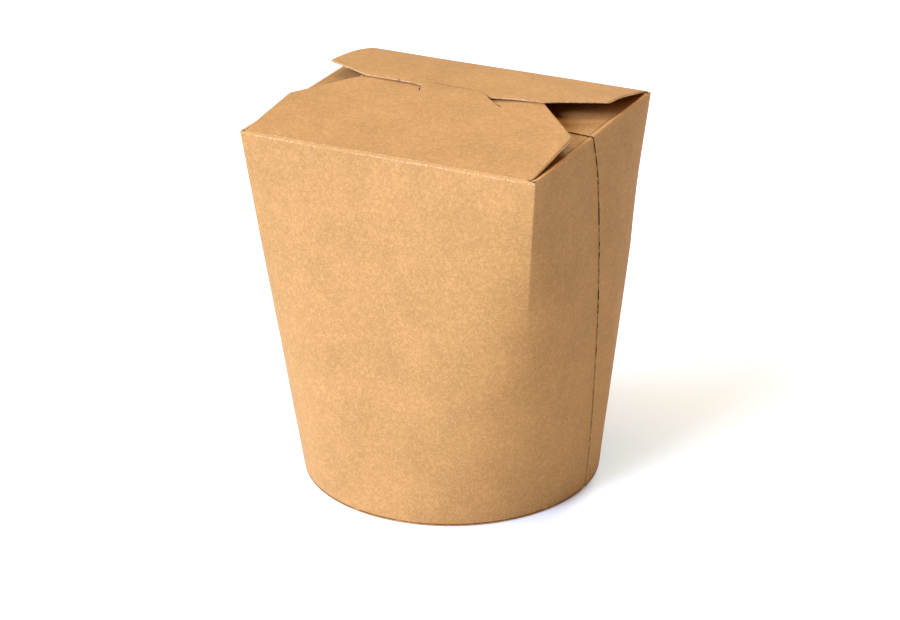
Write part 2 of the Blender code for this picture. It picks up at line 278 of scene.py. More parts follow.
def half_panel(reach, drop, most_turn):
    """(along, in) from a panel's middle to its corner crease, on a curve that turns by most_turn at most."""
    wanted = drop / reach
    if steepness(most_turn, CREASE_POWER) > wanted:
        turn = halving(wanted, 0.0, most_turn, lambda angle: steepness(angle, CREASE_POWER))
        power = CREASE_POWER
    else:
        turn = most_turn
        power = -halving(wanted, -CREASE_POWER, -0.3, lambda minus_power: steepness(turn, -minus_power))
    curve = turning_curve(turn, power)
    scale = reach / curve[-1][0]
    return [(x * scale, y * scale) for x, y in curve]


known_levels = {}  # what level_curves has worked out


def level_curves(down):
    """That share of the way down the wall, (how far out its middle is, its curve) for a side and a front."""
    key = round(down, 7)
    if key not in known_levels:
        crease_x = (1 - down) * TOP_WIDTH / 2 + down * BASE_RADIUS * math.sin(CREASE_TURN)
        crease_y = (1 - down) * TOP_DEPTH / 2 + down * BASE_RADIUS * math.cos(CREASE_TURN)
        fullness = math.sin(math.pi * max(0.0, down) ** BULGE_SKEW)
        middle_x = (1 - down) * TOP_WIDTH / 2 + down * BASE_RADIUS + SIDE_BULGE * fullness
        middle_y = (1 - down) * TOP_DEPTH / 2 + down * BASE_RADIUS + FRONT_BULGE * fullness
        side = half_panel(crease_y, middle_x - crease_x, math.pi / 2 - CREASE_TURN)
        front = half_panel(crease_x, middle_y - crease_y, CREASE_TURN)
        known_levels[key] = ((middle_x, side), (middle_y, front))
    return known_levels[key]


PANEL_OUT = (Vector((1, 0, 0)), Vector((0, 1, 0)), Vector((-1, 0, 0)), Vector((0, -1, 0)))
PANEL_ALONG = (Vector((0, 1, 0)), Vector((-1, 0, 0)), Vector((0, -1, 0)), Vector((1, 0, 0)))
PANEL_MIDDLES = [0.0]
for panel_number in range(1, 5):
    PANEL_MIDDLES.append(PANEL_MIDDLES[-1] + sum(HALF_PANELS))


def panel_at(p):
    """(panel, how far along it from its middle) at p. Panels are 0 right, 1 back, 2 left and 3 front."""
    p = p % AROUND
    nearest = 0
    for number in range(5):
        if abs(p - PANEL_MIDDLES[number]) <= HALF_PANELS[number % 2] + 1e-9:
            nearest = number
            break
    return nearest % 4, p - PANEL_MIDDLES[nearest]


def sharp_wall_point(p, z):
    """The wall at p and at height z, with its corner creases quite sharp."""
    panel, offset = panel_at(p)
    middle, curve = level_curves(1 - z / FOLD_HEIGHT)[panel % 2]
    place = min(1.0, abs(offset) / HALF_PANELS[panel % 2]) * CURVE_STEPS
    step = min(int(place), CURVE_STEPS - 1)
    (along_a, in_a), (along_b, in_b) = curve[step], curve[step + 1]
    along = along_a + (along_b - along_a) * (place - step)
    inward = in_a + (in_b - in_a) * (place - step)
    point = PANEL_OUT[panel] * (middle - inward) + PANEL_ALONG[panel] * math.copysign(along, offset)
    return Vector((point.x, point.y, z))


def rounded(before, corner, after, share):
    """A point on the round bend from before to after that takes the place of a sharp corner."""
    return before * (1 - share) ** 2 + corner * (2 * share * (1 - share)) + after * share**2


def wall_point(p, z):
    """The wall at p and at height z, with rounded corner creases."""
    panel, offset = panel_at(p)
    past_crease = abs(offset) - HALF_PANELS[panel % 2]
    if past_crease <= -CREASE_ROUND:
        return sharp_wall_point(p, z)
    side = math.copysign(1, offset)
    crease = p - side * past_crease
    share = (CREASE_ROUND + side * past_crease) / (2 * CREASE_ROUND)
    before = sharp_wall_point(crease - CREASE_ROUND, z)
    after = sharp_wall_point(crease + CREASE_ROUND, z)
    return rounded(before, sharp_wall_point(crease, z), after, share)


def foot_point(p, w):
    """The rolled foot: the wall turns in through half a circle and goes up again as the hem."""
    past = -w - (FOLD_HEIGHT - FOOT_ROLL)
    turn = min(math.pi, past / FOOT_ROLL)
    up = max(0.0, past - math.pi * FOOT_ROLL)
    ring = wall_point(p, FOOT_ROLL)
    outward = Vector((ring.x, ring.y, 0)).normalized()
    centre = ring - outward * FOOT_ROLL
    return centre + outward * (FOOT_ROLL * math.cos(turn)) + Vector((0, 0, up - FOOT_ROLL * math.sin(turn)))


# --- The flaps' shape -----------------------------------------------------------------------------


def tip_move(across, s, tip):
    """How far the free corner of a flap, s from its fold, moves up."""
    most, across_from, across_to, s_from, s_to = tip
    return most * eased(across, across_from, across_to) * eased(s, s_from, s_to)


def back_height(x, y):
    """The back flap springs up, and the lock holds the middle of its edge down."""
    s = TOP_DEPTH / 2 - y
    held = (1 - eased(abs(x - DIP_X), *DIP_REACH)) * eased(s, 0.0, BACK_LENGTH)
    tips = tip_move(-x, s, BACK_LEFT_TIP) + tip_move(x, s, BACK_RIGHT_TIP)
    return FOLD_HEIGHT + BACK_RISE * s - BACK_DROOP * s * s - BACK_DIP * held + tips


def front_height(x, y, on_tongue):
    """The front flap springs up. At the lock its tongue goes over the back flap and the rest goes under."""
    s = TOP_DEPTH / 2 + y
    free = FOLD_HEIGHT + FRONT_RISE * s - FRONT_DROOP * s * s
    free += tip_move(-x, s, FRONT_LEFT_TIP) + tip_move(x, s, FRONT_RIGHT_TIP)
    if on_tongue:
        press = TONGUE_PRESS * eased(y, LOCK_Y, LOCK_Y + TONGUE_PRESS_LENGTH)
        over = back_height(x, y) + CARD * (1 - press)
        ridge = TONGUE_RIDGE * bell(y, TONGUE_BEND_Y, TONGUE_RIDGE_WIDTH)
        return free + ridge + eased(y, TONGUE_BEND_Y, LOCK_Y) * (over - free)
    slit_end = RIGHT_SLIT[0][1] if x > 0 else LEFT_SLIT[0][1]
    gap = LOCK_GAP + sum(most * bell(x, middle, GAPE_WIDTH) for middle, most in SHOULDER_GAPE)
    under = back_height(x, y) - CARD - gap
    return free + eased(y, slit_end, LOCK_Y - LOCK_LEAD) * (min(free, under) - free)


def flap_point(p, w, on_tongue):
    """The point of the flap at p and w, each flap at its own height."""
    panel, offset = panel_at(p)
    point = PANEL_OUT[panel] * (HALF_PANELS[(panel + 1) % 2] - w) + PANEL_ALONG[panel] * offset
    if panel == 1:
        point.z = back_height(point.x, point.y)
    elif panel == 3:
        point.z = front_height(point.x, point.y, on_tongue)
    else:
        sag = SIDE_SAG * eased(abs(offset), *SIDE_SAG_ALONG) * eased(w, *SIDE_SAG_IN)
        point.z = FOLD_HEIGHT + SIDE_RISE * w - sag
    return point


def folded(p, w, on_tongue=False):
    """Where the point of the blank at p and w is once the blank is folded."""
    if w < -(FOLD_HEIGHT - FOOT_ROLL):
        return foot_point(p, w)
    if w <= -FOLD_ROUND:
        return wall_point(p, FOLD_HEIGHT + w)
    if w >= FOLD_ROUND:
        return flap_point(p, w, on_tongue)
    edge = wall_point(p, FOLD_HEIGHT)
    tangent = wall_point(p + 0.0001, FOLD_HEIGHT) - wall_point(p - 0.0001, FOLD_HEIGHT)
    inward = Vector((-tangent.y, tangent.x, 0)).normalized()
    rise = (SIDE_RISE, BACK_RISE, SIDE_RISE, FRONT_RISE)[panel_at(p)[0]]
    below = wall_point(p, FOLD_HEIGHT - FOLD_ROUND)
    above = edge + (inward + Vector((0, 0, rise))) * FOLD_ROUND
    return rounded(below, edge, above, (w + FOLD_ROUND) / (2 * FOLD_ROUND))


# --- Bmesh helpers --------------------------------------------------------------------------------


def finished(name, shape, materials):
    """Turns the bmesh into a smooth-shaded object at the origin."""
    mesh = bpy.data.meshes.new(name)
    shape.to_mesh(mesh)
    shape.free()
    for material in materials:
        mesh.materials.append(material)
    mesh.shade_smooth()
    piece = bpy.data.objects.new(name, mesh)
    bpy.context.scene.collection.objects.link(piece)
    return piece


def card_piece(name, shape, materials, node):
    """Thickens the bmesh inwards to card, with the last material on its cut edge, in place of that node."""
    piece = finished(name, shape, materials)
    thickness = piece.modifiers.new("card", "SOLIDIFY")
    thickness.thickness = CARD
    thickness.offset = -1
    thickness.material_offset_rim = 1
    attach(piece, "root")
    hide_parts(node)


def laid_grid(shape, columns, rows):
    """A flat grid with its columns and rows at those places. Returns its faces."""
    before = set(shape.faces)
    last_column, last_row = len(columns) - 1, len(rows) - 1
    grid = bmesh.ops.create_grid(shape, x_segments=last_column, y_segments=last_row, size=1.0)
    for vertex in grid["verts"]:
        column = round((vertex.co.x + 1) / 2 * last_column)
        row = round((vertex.co.y + 1) / 2 * last_row)
        vertex.co = (columns[column], rows[row], 0)
    return set(shape.faces) - before


def inside(point, outline):
    """Whether the point is inside the closed outline."""
    x, y = point[0], point[1]
    odd = False
    for (ax, ay), (bx, by) in zip(outline, outline[1:] + outline[:1]):
        if (ay > y) != (by > y) and x < ax + (bx - ax) * (y - ay) / (by - ay):
            odd = not odd
    return odd


def distance_to_segment(point, a, b):
    run = b - a
    share = max(0.0, min(1.0, (point - a).dot(run) / run.dot(run)))
    return (point - (a + run * share)).length


def cut_line(shape, flap, a, b):
    """Cuts the flap's faces, a set, that lie close to the segment from a to b."""
    a, b = Vector((*a, 0)), Vector((*b, 0))
    faces = [f for f in flap if distance_to_segment(f.calc_center_median(), a, b) < CUT_REACH]
    geometry = {part for f in faces for part in (f, *f.edges, *f.verts)}
    across = (b - a).cross(Vector((0, 0, 1))).normalized()
    cut = bmesh.ops.bisect_plane(shape, geom=list(geometry), dist=1e-7, plane_co=a, plane_no=across)
    flap.update(part for part in cut["geom"] if isinstance(part, bmesh.types.BMFace))


def open_slit(shape, flap, points):
    """Cuts along the line of points and parts the flap there."""
    for a, b in zip(points, points[1:]):
        cut_line(shape, flap, a, b)
    lines = [(Vector((*a, 0)), Vector((*b, 0))) for a, b in zip(points, points[1:])]

    def on_slit(vertex):
        return any(distance_to_segment(vertex.co, a, b) < ON_SLIT for a, b in lines)

    edges = {edge for face in flap for edge in face.edges if len(edge.link_faces) == 2}
    bmesh.ops.split_edges(shape, edges=[e for e in edges if all(on_slit(v) for v in e.verts)])


def with_round_corners(outline, radius, steps=5):
    """The closed outline with each corner rounded by an arc that starts that far from it."""
    points = []
    for i, corner in enumerate(outline):
        corner = Vector(corner)
        before, after = Vector(outline[i - 1]), Vector(outline[(i + 1) % len(outline)])
        start = corner + (before - corner).normalized() * radius
        end = corner + (after - corner).normalized() * radius
        points += [tuple(rounded(start, corner, end, j / steps)) for j in range(steps + 1)]
    return points


# --- The blank ------------------------------------------------------------------------------------


def column_places():
    """Every p where the blank has a column of points: even ones, and closer ones at the creases and seam."""
    places = set()
    for number, middle in enumerate(PANEL_MIDDLES):
        half, count = HALF_PANELS[number % 2], HALF_COLUMNS[number % 2]
        step = half / count
        offsets = [i * step for i in range(count + 1)]
        offsets += [half - step * share for share in CREASE_COLUMN_SHARES]
        for offset in offsets:
            places.update((round(middle + offset, 7), round(middle - offset, 7)))
    seam_end = AROUND + SEAM_START
    lap_end = seam_end + LAP
    kept = {p for p in places if SEAM_START < p < seam_end}
    lap_places = {p + AROUND for p in places if SEAM_START < p < SEAM_START + LAP}
    kept.update(SEAM_START + distance for distance in SEAM_COLUMNS)
    kept.update(seam_end - distance for distance in SEAM_COLUMNS)
    kept.update(p for p in lap_places if seam_end < p < lap_end)
    kept.update((seam_end + FLAP_LAP, lap_end))
    ordered = sorted(kept)
    return [p for i, p in enumerate(ordered) if i == 0 or p - ordered[i - 1] > CLOSEST_COLUMNS]


def wall_rows():
    """Depths under the fold of the blank's rows, down the wall, round the foot and up the hem."""
    foot_start = FOLD_HEIGHT - FOOT_ROLL
    even_start, even_end = NEAR_FOLD_ON_WALL[-1], foot_start - 0.0014
    count = round((even_end - even_start) / WALL_ROW)
    even = [even_start + (even_end - even_start) * i / count for i in range(1, count + 1)]
    even += [foot_start - height for height in FOOT_ROWS]
    roll = [foot_start + FOOT_ROLL * math.pi * i / FOOT_TURNS for i in range(1, FOOT_TURNS + 1)]
    hem_height = HEM_TOP - FOOT_ROLL
    hem = [roll[-1] + hem_height * share for share in HEM_ROW_SHARES]
    return NEAR_FOLD_ON_WALL + even + roll + hem


def flap_rows(length):
    """Distances past the fold of the rows of a flap that long."""
    even_start = NEAR_FOLD_ON_FLAP[-1]
    count = round((length - even_start) / FLAP_ROW)
    return NEAR_FOLD_ON_FLAP + [even_start + (length - even_start) * i / count for i in range(1, count + 1)]


def with_bend_rows(rows, bend):
    """The rows with closer ones at a bend."""
    close = [bend + BEND_ROW * step for step in range(-5, 6)]
    start, end = close[0] - 0.0002, close[-1] + 0.0002
    return sorted([row for row in rows if not start < row < end] + close)


def flat_outline(points, panel):
    """An outline in world x and y, as (p, w) on that panel's flap."""
    out, along = PANEL_OUT[panel], PANEL_ALONG[panel]
    half = HALF_PANELS[(panel + 1) % 2]
    flat = []
    for x, y in points:
        place = Vector((x, y, 0))
        flat.append((PANEL_MIDDLES[panel] + place.dot(along), half - place.dot(out)))
    return flat


# The tongue, from its left slit's lower end round its tip to its right slit's, as (p, w)
TONGUE = flat_outline(LEFT_SLIT + tuple(reversed(TONGUE_TIP)) + tuple(reversed(RIGHT_SLIT)), 3)


def trim_flap(shape, flap, outlines):
    """Cuts away what of the flap, a set of faces, is outside the outlines."""
    for outline in outlines:
        for a, b in zip(outline, outline[1:] + outline[:1]):
            if max(a[1], b[1]) > UNTRIMMED_ROOT:
                cut_line(shape, flap, a, b)
    offcuts = []
    for face in flap:
        centre = face.calc_center_median()
        if centre.y > UNTRIMMED_ROOT and not any(inside(centre, outline) for outline in outlines):
            offcuts.append(face)
    flap.difference_update(offcuts)
    bmesh.ops.delete(shape, geom=offcuts, context="FACES")


def flap_outlines():
    """The outlines of the four panels' flaps, from the seam's side round to the front."""
    side = with_round_corners(SIDE_FLAP, SIDE_CORNER)
    right, left = ([(middle + along, w) for along, w in side] for middle in (0.0, PANEL_MIDDLES[2]))
    back = flat_outline(with_round_corners(BACK_FLAP, BACK_CORNER), 1)
    front = flat_outline(with_round_corners(FRONT_FLAP, FRONT_CORNER), 3)
    right_front = [(p + AROUND, w) for p, w in right]
    return [[right], [back], [left], [front, TONGUE], [right_front]]


def flat_blank():
    """The blank before folding, trimmed and slit."""
    shape = bmesh.new()
    places = column_places()
    laid_grid(shape, places, [-depth for depth in reversed(wall_rows())] + [0.0])
    lap_end = AROUND + SEAM_START + FLAP_LAP
    for number, outlines in enumerate(flap_outlines()):
        middle = PANEL_MIDDLES[number]
        reach = HALF_PANELS[number % 2] - CORNER_NOTCH + 0.0003
        columns = [p for p in places if abs(p - middle) < reach and p < lap_end]
        length = max(w for outline in outlines for _, w in outline)
        rows = [0.0] + flap_rows(length)
        if number == 3:
            rows = with_bend_rows(rows, TOP_DEPTH / 2 + TONGUE_BEND_Y)
        flap = laid_grid(shape, columns, rows)
        trim_flap(shape, flap, outlines)
        if number == 1:
            open_slit(shape, flap, flat_outline(NICK, 1))
        if number == 3:
            open_slit(shape, flap, flat_outline(RIGHT_SLIT, 3))
            open_slit(shape, flap, flat_outline(LEFT_SLIT, 3))
    on_fold = [v for v in shape.verts if v.co.y == 0.0]
    bmesh.ops.remove_doubles(shape, verts=on_fold, dist=1e-6)
    return shape


def seam_offset(p, w):
    """How far out of the wall's plain surface the two layers at the glued seam lie."""
    sink_start, sink_end = (FOLD_HEIGHT - height for height in SEAM_FLUSH)
    at_foot = eased(-w, sink_start, sink_end)
    step = CARD * SEAM_PRESS
    if p < AROUND / 2:
        return step * (1 - at_foot) * (1 - eased(p, *LAP_FADE))
    start, end = (AROUND - distance for distance in INNER_SINK)
    return -step * at_foot * eased(p, start, end)


def seam_bow(p, w):
    """How far along the blank its glued ends have slipped, near the top fold."""
    from_seam = p if p < AROUND / 2 else p - AROUND
    return -SEAM_BOW * eased(w, -SEAM_BOW_DEPTH, 0.0) * bell(from_seam, *SEAM_BOW_REACH)


def score_profile(distance):
    """The relief across a fold at that signed distance from it: a proud bead between two pressed lines."""
    return sum(proud * bell(distance, place, width) for proud, place, width in SCORES)


def foot_groove(w):
    """The line pressed into the wall just over its rolled foot."""
    return -FOOT_GROOVE * bell(FOLD_HEIGHT + w, FOOT_LINE, FOOT_GROOVE_WIDTH)


def waviness(place):
    """The card's own unevenness: a slow wave and a finer one."""
    return sum(height * noise.noise(place * number) for height, number in WAVES)


def hem_ribs(p, w):
    """The pressed ribs of the hem, which run up and down it."""
    up = -w - (FOLD_HEIGHT - FOOT_ROLL) - math.pi * FOOT_ROLL
    panel, offset = panel_at(p)
    ribs = RIBS_PER_HALF_PANEL[panel % 2]
    wave = math.cos(2 * math.pi * ribs * offset / HALF_PANELS[panel % 2])
    return RIB_DEPTH * wave * eased(up, *RIB_START)


def mark_blank(shape):
    """Gives the flat blank the places, distances, fold wear and highlight, and the masks of painted shade at
    the seam and slits that its materials go by.
    """
    fold_distance = shape.verts.layers.float.new("fold_distance")
    crease_distance = shape.verts.layers.float.new("crease_distance")
    # masks of the shade painted along the glued seam and beside the tongue's slits
    seam_shade_mask = shape.verts.layers.float.new("seam_shade_mask")
    slit_shade_mask = shape.verts.layers.float.new("slit_shade_mask")
    # how strongly each top fold shows cracked fibre and painted highlight
    wear_and_light = shape.verts.layers.float.new("fold_wear_and_light")
    flat_places = shape.loops.layers.uv.new("blank")
    for face in shape.faces:
        for loop in face.loops:
            loop[flat_places].uv = (loop.vert.co.x, loop.vert.co.y)
    for vertex in shape.verts:
        p, w = vertex.co.x, vertex.co.y
        panel, offset = panel_at(p)
        vertex[fold_distance] = w
        vertex[crease_distance] = (HALF_PANELS[panel % 2] - abs(offset)) * (1 if panel % 2 else -1)
        vertex[wear_and_light] = FOLD_WEAR_AND_LIGHT[panel]
        if abs(p - SEAM_START) < 1e-6:
            vertex[seam_shade_mask] = 1 - SEAM_CLOSES * eased(-w, *SEAM_CLOSING)
        if w < SLIT_DARK_END and beside_tongue(vertex):
            vertex[slit_shade_mask] = 1.0


def beside_tongue(vertex):
    """Whether the vertex of the flat blank is on the cut round the tongue."""
    if vertex.co.y < TOP_DEPTH / 4 or not vertex.is_boundary or panel_at(vertex.co.x)[0] != 3:
        return False
    place = Vector((vertex.co.x, vertex.co.y, 0))
    sides = [(Vector((*a, 0)), Vector((*b, 0))) for a, b in zip(TONGUE, TONGUE[1:])]
    return min(distance_to_segment(place, a, b) for a, b in sides) < ON_TONGUE_CUT


def folded_carton(shape):
    """Folds the flat blank, with its slits a little open."""
    flat, places = {}, {}
    for vertex in shape.verts:
        p, w = flat[vertex] = vertex.co.x, vertex.co.y
        middle = sum((f.calc_center_median() for f in vertex.link_faces), Vector()) / len(vertex.link_faces)
        on_tongue = w > TOP_DEPTH / 4 and inside(middle, TONGUE)
        if beside_tongue(vertex) and not on_tongue:
            end = min(math.dist((p, w), TONGUE[0]), math.dist((p, w), TONGUE[-1]))
            opening = SLIT_OPENING + SLIT_END_OPENING * bell(end, *SLIT_END_REACH)
            away = (middle - Vector((p, w, 0))).normalized() * opening
            p, w = p + away.x, w + away.y
        places[vertex] = folded(p + seam_bow(p, w), w, on_tongue)
    for vertex, place in places.items():
        vertex.co = place
    return flat


def press_relief(shape, flat):
    """Moves the folded card out or in by its seam, ribs, waves, scored lines and groove."""
    shape.normal_update()
    moves = []
    for vertex, (p, w) in flat.items():
        out = seam_offset(p, w) + hem_ribs(p, w)
        out += waviness(vertex.co) * eased(FOLD_HEIGHT + w, FOOT_ROLL, WAVES_HEIGHT)
        out += score_profile(w) + foot_groove(w)
        moves.append((vertex, vertex.normal * out))
    for vertex, move in moves:
        vertex.co += move


def build_carton(card, cut_edge):
    """The wall and its four flaps, folded from one blank."""
    shape = flat_blank()
    mark_blank(shape)
    press_relief(shape, folded_carton(shape))
    card_piece("card_carton", shape, [card, cut_edge], "carton")


def base_profile():
    """Half the base's section as (radius, z): a faint dome, a round corner and a rim turned down."""
    level = DISC_LOW.z
    profile = [(radius, level + dome) for radius, dome in BASE_CROWN] + [(RIM_RADIUS - 0.003, level)]
    for i in range(5):
        turn = math.pi / 2 * i / 4
        radius = RIM_RADIUS - RIM_CORNER + RIM_CORNER * math.sin(turn)
        profile.append((radius, level - RIM_CORNER + RIM_CORNER * math.cos(turn)))
    return profile + [(RIM_RADIUS, RIM_FOOT)]


def build_base(card, cut_edge):
    """The round base, pressed into a shallow tray whose rim stands down between the wall and the hem."""
    shape = bmesh.new()
    verts = [shape.verts.new((radius, 0, z)) for radius, z in base_profile()]
    edges = [shape.edges.new(pair) for pair in zip(verts, verts[1:])]
    bmesh.ops.spin(
        shape, geom=verts + edges, axis=(0, 0, 1), cent=(0, 0, 0), dvec=(0, 0, 0),
        angle=2 * math.pi, steps=128, use_merge=True, use_duplicate=False,
    )
    bmesh.ops.remove_doubles(shape, verts=shape.verts[:], dist=1e-6)
    bmesh.ops.recalc_face_normals(shape, faces=shape.faces[:])
    topmost = max(shape.faces, key=lambda face: face.calc_center_median().z)
    if topmost.normal.z > 0:
        bmesh.ops.reverse_faces(shape, faces=shape.faces[:])
    card_piece("card_base", shape, [card, cut_edge], "base_disc")


# --- Materials ------------------------------------------------------------------------------------


def add_node(tree, kind, inputs, **settings):
    """Adds a shader node. Each of its inputs takes a value, or is joined to another node's output."""
    node = tree.nodes.new("ShaderNode" + kind)
    for name, value in settings.items():
        setattr(node, name, value)
    for name, value in inputs.items():
        if isinstance(value, bpy.types.NodeSocket):
            tree.links.new(value, node.inputs[name])
        else:
            node.inputs[name].default_value = value
    return node


def calculate(tree, operation, first, second=0.0):
    return add_node(tree, "Math", {0: first, 1: second}, operation=operation).outputs[0]


def times(tree, first, second):
    return calculate(tree, "MULTIPLY", first, second)


def larger(tree, first, second):
    return calculate(tree, "MAXIMUM", first, second)


def away_from(tree, value, middle):
    """How far the value is from the middle, either way."""
    return calculate(tree, "ABSOLUTE", calculate(tree, "SUBTRACT", value, middle))


def attribute(tree, name):
    """An attribute that mark_blank gave the card."""
    return add_node(tree, "Attribute", {}, attribute_name=name).outputs["Fac"]


def faded(tree, value, start, end, low=0.0, high=1.0):
    """Low where value is at start, high where it is at end, and smooth between them."""
    limits = {"Value": value, "From Min": start, "From Max": end, "To Min": low, "To Max": high}
    return add_node(tree, "MapRange", limits, interpolation_type="SMOOTHSTEP").outputs["Result"]


def speckle(tree, place, scale, detail=2.0, roughness=0.5, distortion=0.0):
    """Noise of about that many spots a metre."""
    look = {"Vector": place, "Scale": scale, "Detail": detail, "Roughness": roughness}
    return add_node(tree, "TexNoise", {**look, "Distortion": distortion}).outputs["Fac"]


def new_group(name, inputs, outputs):
    """A shader node group with those sockets. Returns it with its input and output nodes."""
    group = bpy.data.node_groups.new(name, "ShaderNodeTree")
    for socket, kind in inputs.items():
        group.interface.new_socket(name=socket, in_out="INPUT", socket_type="NodeSocket" + kind)
    for socket in outputs:
        group.interface.new_socket(name=socket, in_out="OUTPUT", socket_type="NodeSocketFloat")
    return group, group.nodes.new("NodeGroupInput"), group.nodes.new("NodeGroupOutput")


def make_card_pulp():
    """How pulp shows on card: broad clouds, a worm-like mottle, single fibres and specks, from 0 to 1."""
    sockets = ("Clouds", "Mottle", "Fibres", "Specks")
    group, given, result = new_group("card_pulp", {"Place": "Vector"}, sockets)
    place = given.outputs["Place"]
    clouds = faded(group, speckle(group, place, 85, 4.0, 0.6), 0.30, 0.70)
    worms = away_from(group, speckle(group, place, 720, 2.0, 0.55, 0.8), 0.5)
    worms = times(group, faded(group, worms, 0.0, 0.14), 0.55)
    grain = speckle(group, place, 1900, 2.0, 0.6)
    grain = times(group, faded(group, grain, 0.25, 0.75), 0.45)
    mottle = calculate(group, "ADD", worms, grain)
    contour = away_from(group, speckle(group, place, 330, 1.0, 0.5, 1.6), 0.5)
    broken = faded(group, speckle(group, place, 240, 1.0), 0.53, 0.62)
    fibres = times(group, faded(group, contour, 0.016, 0.004), broken)
    cells = add_node(group, "TexVoronoi", {"Vector": place, "Scale": 190.0})
    cell_number = add_node(group, "SeparateColor", {0: cells.outputs["Color"]}).outputs[0]
    chosen = faded(group, cell_number, 0.80, 0.84)
    specks = times(group, faded(group, cells.outputs["Distance"], 0.085, 0.04), chosen)
    for name, value in zip(sockets, (clouds, mottle, fibres, specks)):
        group.links.new(value, result.inputs[name])
    return group


def make_fold_wear_and_light():
    """What folding does to card: flecks of broken fibre in a row on each side of the fold, and rubbing; at
    the top folds both also stand for painted highlight along the fold's rounded ridge.
    """
    sockets = {"Place": "Vector", "Distance": "Float", "Row": "Float"}
    group, given, result = new_group("fold_wear_and_light", sockets, ("Flecks", "RubbedAndHighlight"))
    place, row = given.outputs["Place"], given.outputs["Row"]
    wander = times(group, calculate(group, "SUBTRACT", speckle(group, place, 140), 0.5), 0.0007)
    distance = calculate(group, "ABSOLUTE", calculate(group, "ADD", given.outputs["Distance"], wander))
    in_row = faded(group, away_from(group, distance, row), 0.00034, 0.00006)
    broken = faded(group, speckle(group, place, 2700, 1.0), 0.50, 0.64)
    here_and_there = faded(group, speckle(group, place, 75), 0.34, 0.54)
    flecks = times(group, times(group, in_row, broken), here_and_there)
    # a paler band along the fold: rubbed card, and a painted highlight on the fold's rounded ridge
    rubbed_and_highlight = faded(group, distance, 0.0011, 0.0002)
    group.links.new(flecks, result.inputs["Flecks"])
    group.links.new(rubbed_and_highlight, result.inputs["RubbedAndHighlight"])
    return group


def make_gap_shade():
    """The painted shade in the card's gaps: broken along the seam, from Least to Most, and even in a slit.
    """
    sockets = {"Place": "Vector", "Seam": "Float", "Slit": "Float", "Least": "Float", "Most": "Float"}
    group, given, result = new_group("gap_shade", sockets, ("Shade",))
    spots = speckle(group, given.outputs["Place"], 330, 2.0, 0.6)
    here_and_there = faded(group, spots, 0.40, 0.54, given.outputs["Least"], given.outputs["Most"])
    shade = larger(group, times(group, given.outputs["Seam"], here_and_there), given.outputs["Slit"])
    group.links.new(shade, result.inputs["Shade"])
    return group


def mixed(tree, share, first, second, blend="MIX"):
    """A colour that goes from the first to the second as share goes from 0 to 1."""
    node = tree.nodes.new("ShaderNodeMix")
    node.data_type = "RGBA"
    node.blend_type = blend
    for socket, value in ((node.inputs[0], share), (node.inputs[6], first), (node.inputs[7], second)):
        if isinstance(value, bpy.types.NodeSocket):
            tree.links.new(value, socket)
        else:
            socket.default_value = value if isinstance(value, float) else (*value, 1)
    return node.outputs[2]


def new_material(name):
    """A new material, with its node tree and its shader."""
    material = bpy.data.materials.new(name)
    material.use_nodes = True
    return material, material.node_tree, material.node_tree.nodes["Principled BSDF"]


def group_in(tree, group, given):
    """Puts a group in a material, with each of its inputs given as a value or another node's output."""
    node = add_node(tree, "Group", {}, node_tree=group)
    for name, value in given.items():
        if isinstance(value, bpy.types.NodeSocket):
            tree.links.new(value, node.inputs[name])
        else:
            node.inputs[name].default_value = value
    return node.outputs


def pulp_in(tree):
    """Puts the card pulp group in a material. Returns it with the Object coordinates."""
    place = tree.nodes.new("ShaderNodeTexCoord").outputs["Object"]
    return group_in(tree, card_pulp_group, {"Place": place}), place


def scaled(colour, factor):
    return tuple(channel * factor for channel in colour)


def pulp_colour(tree, pulp, colour, strength):
    """The card's colour with its clouds, mottle, fibres and specks, at that strength."""
    darker, paler = CLOUD_CONTRAST
    dark_cloud, pale_cloud = scaled(colour, 1 - darker * strength), scaled(colour, 1 + paler * strength)
    shade = mixed(tree, pulp["Clouds"], dark_cloud, pale_cloud)
    dark_worm = tuple(1 - share * strength for share in WORM_DARKER)
    pale_worm = tuple(1 + share * strength for share in WORM_PALER)
    shade = mixed(tree, 1.0, shade, mixed(tree, pulp["Mottle"], dark_worm, pale_worm), "MULTIPLY")
    shade = mixed(tree, times(tree, pulp["Fibres"], 0.30 * strength), shade, scaled(colour, 1.45))
    return mixed(tree, times(tree, pulp["Specks"], 0.45 * strength), shade, scaled(colour, 0.45))


def finish_card(tree, shader, colour, roughness, relief, strength, depth):
    """Gives a material of card its colour, roughness, low gloss and relief."""
    tree.links.new(colour, shader.inputs["Base Color"])
    if isinstance(roughness, float):
        shader.inputs["Roughness"].default_value = roughness
    else:
        tree.links.new(roughness, shader.inputs["Roughness"])
    shader.inputs["Specular IOR Level"].default_value = CARD_GLOSS
    bump = add_node(tree, "Bump", {"Height": relief, "Strength": strength, "Distance": depth})
    tree.links.new(bump.outputs["Normal"], shader.inputs["Normal"])


def shaded_foot_line(tree, place, colour):
    """Paints shade into the line pressed in over the rolled foot, broken here and there."""
    height = add_node(tree, "SeparateXYZ", {"Vector": place}).outputs["Z"]
    # painted shade in a narrow band round the pressed line's height
    line = times(tree, faded(tree, away_from(tree, height, FOOT_LINE), 0.00024, 0.00008), 0.9)
    line_breaks = faded(tree, speckle(tree, place, 150, 3.0, 0.7), 0.32, 0.50)
    return mixed(tree, times(tree, line, line_breaks), colour, PAINTED_SHADE_COLOUR)


